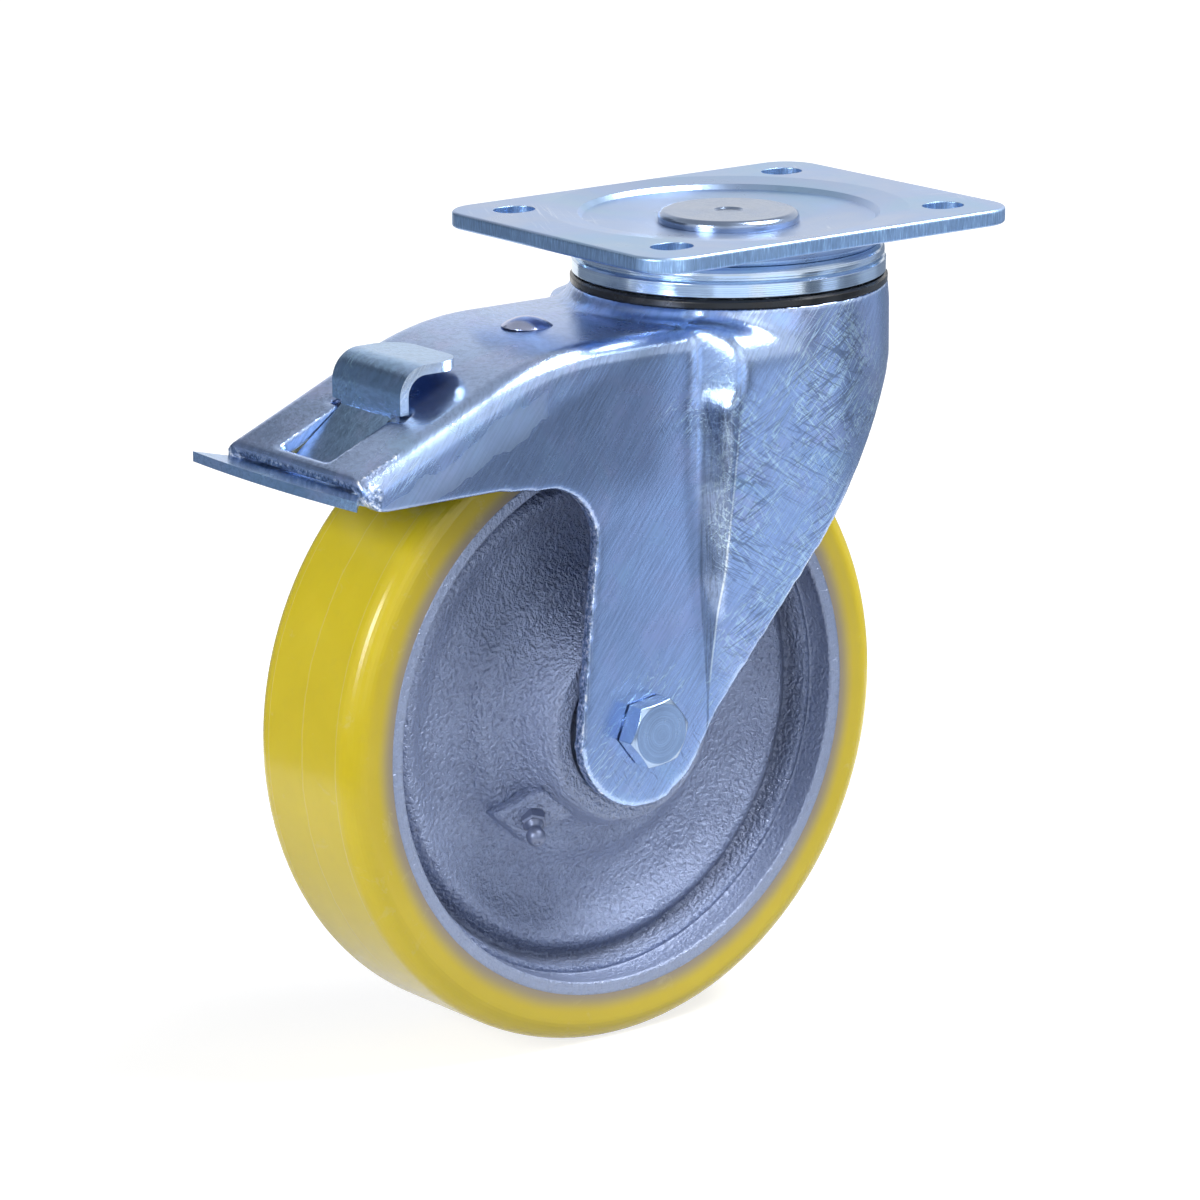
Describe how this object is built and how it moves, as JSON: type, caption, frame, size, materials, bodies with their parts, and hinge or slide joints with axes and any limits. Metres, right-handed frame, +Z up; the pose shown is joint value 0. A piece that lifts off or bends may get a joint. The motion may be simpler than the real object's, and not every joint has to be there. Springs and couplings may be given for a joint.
{
  "type": "heavy-duty swivel castor with brake",
  "caption": "Heavy-duty swivel castor: bolt-on plate, pressed steel fork with foot brake, and cast wheel with a yellow bonded tread.",
  "frame": {"origin": "centre of the mounting plate's top face, on the swivel axis", "axes": "+Z up, along the swivel axis out of the plate's top face; X along the rolling direction, with the wheel and pedal towards -X; the axle bolt's head faces -Y"},
  "size_m": [0.2412, 0.11, 0.246],
  "materials": {
    "zinc": "blue zinc-plated pressed steel, lightly scratched",
    "zinc_bright": "bright zinc-plated turned steel",
    "steel": "plain machined steel",
    "ball_steel": "polished bearing steel",
    "grey_cast": "grey lacquer over rough cast iron",
    "yellow_tread": "smooth yellow polyurethane, a little translucent",
    "seal": "black rubber"
  },
  "bodies": {
    "plate": {"top_plate": "zinc", "king_pin": "zinc_bright", "king_nut": "zinc_bright", "upper_race": "zinc_bright", "lower_race": "steel"},
    "fork": {"fork_housing": "zinc", "swivel_seal": "seal", "upper_balls": "ball_steel", "lower_balls": "ball_steel", "axle_bolt": "zinc_bright", "axle_nut": "zinc_bright", "axle_sleeve": "steel", "thrust_rings": "steel", "bearing_inner_rings": "ball_steel", "hood_rivet": "zinc_bright", "pedal_bracket": "zinc", "pedal_pin": "steel"},
    "wheel": {"wheel_centre": "grey_cast", "tread": "yellow_tread", "bearing_outer_rings": "ball_steel", "bearing_balls": "ball_steel", "bearing_shields": "steel", "grease_nipple": "zinc_bright"},
    "pedal": {"brake_pedal": "zinc"},
    "leaf": {"brake_leaf": "steel", "brake_shoe": "seal"}
  },
  "joints": [
    {"name": "swivel", "type": "hinge", "parent": "plate", "child": "fork", "pos_m": [0, 0, -0.02], "axis": [0, 0, 1], "continuous": true},
    {"name": "wheel_spin", "type": "hinge", "parent": "fork", "child": "wheel", "pos_m": [-0.061, 0, -0.146], "axis": [0, 1, 0], "continuous": true},
    {"name": "pedal_press", "type": "hinge", "parent": "fork", "child": "pedal", "pos_m": [-0.131, 0, -0.06], "axis": [0, -1, 0], "range_deg": [0, 15]},
    {"name": "leaf_bend", "type": "hinge", "parent": "fork", "child": "leaf", "pos_m": [-0.077, 0, -0.03635], "axis": [0, -1, 0], "range_deg": [0, 2]}
  ],
  "couplings": [
    {"joint": "leaf_bend", "follows": "pedal_press", "ratio": 0.13333}
  ]
}
